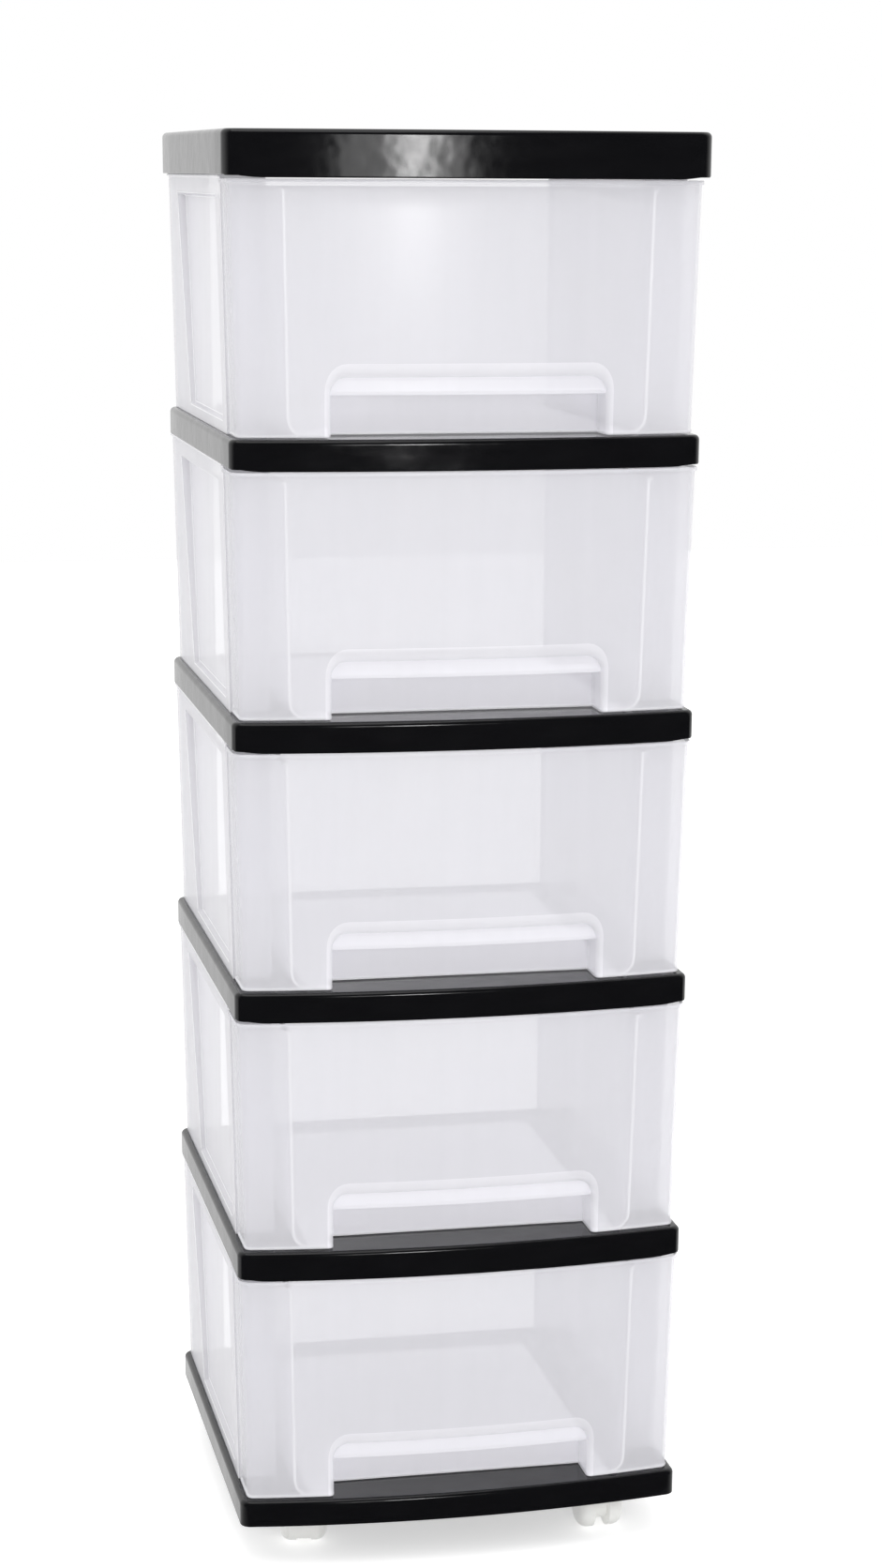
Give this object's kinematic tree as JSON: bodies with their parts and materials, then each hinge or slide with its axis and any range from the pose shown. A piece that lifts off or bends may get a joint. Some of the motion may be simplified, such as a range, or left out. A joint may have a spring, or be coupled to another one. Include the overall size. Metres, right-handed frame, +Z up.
{
  "type": "plastic drawer tower",
  "caption": "Tall tower of frosted see-through pull-out drawers between black trays, with a black lid, on small twin-wheel swivel casters.",
  "frame": {"origin": "on the floor, under the middle of the tower's bounding box, which is the middle of the lid", "axes": "+Z up; the drawers pull out along -Y; +X to the right when facing the drawers"},
  "size_m": [0.326, 0.333, 0.993],
  "materials": {
    "black_plastic": "glossy black moulded plastic",
    "side_panel_plastic": "frosted see-through plastic",
    "drawer_plastic": "frosted see-through plastic, glossy outside",
    "caster_plastic": "milky white plastic",
    "wheel_plastic": "milky white plastic",
    "steel": "drawn steel"
  },
  "bodies": {
    "root": {"lid": "black_plastic", "base_tray": "black_plastic", "tray_1": "black_plastic", "tray_2": "black_plastic", "tray_3": "black_plastic", "tray_4": "black_plastic", "side_panel_left_1": "side_panel_plastic", "side_panel_left_2": "side_panel_plastic", "side_panel_left_3": "side_panel_plastic", "side_panel_left_4": "side_panel_plastic", "side_panel_left_5": "side_panel_plastic", "side_panel_right_1": "side_panel_plastic", "side_panel_right_2": "side_panel_plastic", "side_panel_right_3": "side_panel_plastic", "side_panel_right_4": "side_panel_plastic", "side_panel_right_5": "side_panel_plastic", "caster_stem_front_left": "steel", "caster_stem_front_right": "steel", "caster_stem_back_left": "steel", "caster_stem_back_right": "steel"},
    "drawer_1": {"drawer_1": "drawer_plastic"},
    "drawer_2": {"drawer_2": "drawer_plastic"},
    "drawer_3": {"drawer_3": "drawer_plastic"},
    "drawer_4": {"drawer_4": "drawer_plastic"},
    "drawer_5": {"drawer_5": "drawer_plastic"},
    "swivel_front_left": {"caster_hood_front_left": "caster_plastic", "caster_axle_front_left": "steel"},
    "wheel_front_left_left": {"wheel_front_left_left": "wheel_plastic"},
    "wheel_front_left_right": {"wheel_front_left_right": "wheel_plastic"},
    "swivel_front_right": {"caster_hood_front_right": "caster_plastic", "caster_axle_front_right": "steel"},
    "wheel_front_right_left": {"wheel_front_right_left": "wheel_plastic"},
    "wheel_front_right_right": {"wheel_front_right_right": "wheel_plastic"},
    "swivel_back_left": {"caster_hood_back_left": "caster_plastic", "caster_axle_back_left": "steel"},
    "wheel_back_left_left": {"wheel_back_left_left": "wheel_plastic"},
    "wheel_back_left_right": {"wheel_back_left_right": "wheel_plastic"},
    "swivel_back_right": {"caster_hood_back_right": "caster_plastic", "caster_axle_back_right": "steel"},
    "wheel_back_right_left": {"wheel_back_right_left": "wheel_plastic"},
    "wheel_back_right_right": {"wheel_back_right_right": "wheel_plastic"}
  },
  "joints": [
    {"name": "drawer_1_slide", "type": "slide", "parent": "root", "child": "drawer_1", "axis": [0, -1, 0], "range_m": [0, 0.24]},
    {"name": "drawer_2_slide", "type": "slide", "parent": "root", "child": "drawer_2", "axis": [0, -1, 0], "range_m": [0, 0.24]},
    {"name": "drawer_3_slide", "type": "slide", "parent": "root", "child": "drawer_3", "axis": [0, -1, 0], "range_m": [0, 0.24]},
    {"name": "drawer_4_slide", "type": "slide", "parent": "root", "child": "drawer_4", "axis": [0, -1, 0], "range_m": [0, 0.24]},
    {"name": "drawer_5_slide", "type": "slide", "parent": "root", "child": "drawer_5", "axis": [0, -1, 0], "range_m": [0, 0.24]},
    {"name": "swivel_front_left", "type": "hinge", "parent": "root", "child": "swivel_front_left", "pos_m": [-0.109, -0.112, 0.02], "axis": [0, 0, 1], "continuous": true},
    {"name": "roll_front_left_left", "type": "hinge", "parent": "swivel_front_left", "child": "wheel_front_left_left", "pos_m": [-0.10789, -0.10408, 0.015], "axis": [0.9903, -0.1392, 0], "continuous": true},
    {"name": "roll_front_left_right", "type": "hinge", "parent": "swivel_front_left", "child": "wheel_front_left_right", "pos_m": [-0.10789, -0.10408, 0.015], "axis": [0.9903, -0.1392, 0], "continuous": true},
    {"name": "swivel_front_right", "type": "hinge", "parent": "root", "child": "swivel_front_right", "pos_m": [0.109, -0.112, 0.02], "axis": [0, 0, 1], "continuous": true},
    {"name": "roll_front_right_left", "type": "hinge", "parent": "swivel_front_right", "child": "wheel_front_right_left", "pos_m": [0.10942, -0.11999, 0.015], "axis": [-0.9986, -0.0523, 0], "continuous": true},
    {"name": "roll_front_right_right", "type": "hinge", "parent": "swivel_front_right", "child": "wheel_front_right_right", "pos_m": [0.10942, -0.11999, 0.015], "axis": [-0.9986, -0.0523, 0], "continuous": true},
    {"name": "swivel_back_left", "type": "hinge", "parent": "root", "child": "swivel_back_left", "pos_m": [-0.109, 0.13, 0.02], "axis": [0, 0, 1], "continuous": true},
    {"name": "roll_back_left_left", "type": "hinge", "parent": "swivel_back_left", "child": "wheel_back_left_left", "pos_m": [-0.11039, 0.12212, 0.015], "axis": [-0.9848, 0.1736, 0], "continuous": true},
    {"name": "roll_back_left_right", "type": "hinge", "parent": "swivel_back_left", "child": "wheel_back_left_right", "pos_m": [-0.11039, 0.12212, 0.015], "axis": [-0.9848, 0.1736, 0], "continuous": true},
    {"name": "swivel_back_right", "type": "hinge", "parent": "root", "child": "swivel_back_right", "pos_m": [0.109, 0.13, 0.02], "axis": [0, 0, 1], "continuous": true},
    {"name": "roll_back_right_left", "type": "hinge", "parent": "swivel_back_right", "child": "wheel_back_right_left", "pos_m": [0.11066, 0.12218, 0.015], "axis": [-0.9781, -0.2079, 0], "continuous": true},
    {"name": "roll_back_right_right", "type": "hinge", "parent": "swivel_back_right", "child": "wheel_back_right_right", "pos_m": [0.11066, 0.12218, 0.015], "axis": [-0.9781, -0.2079, 0], "continuous": true}
  ]
}
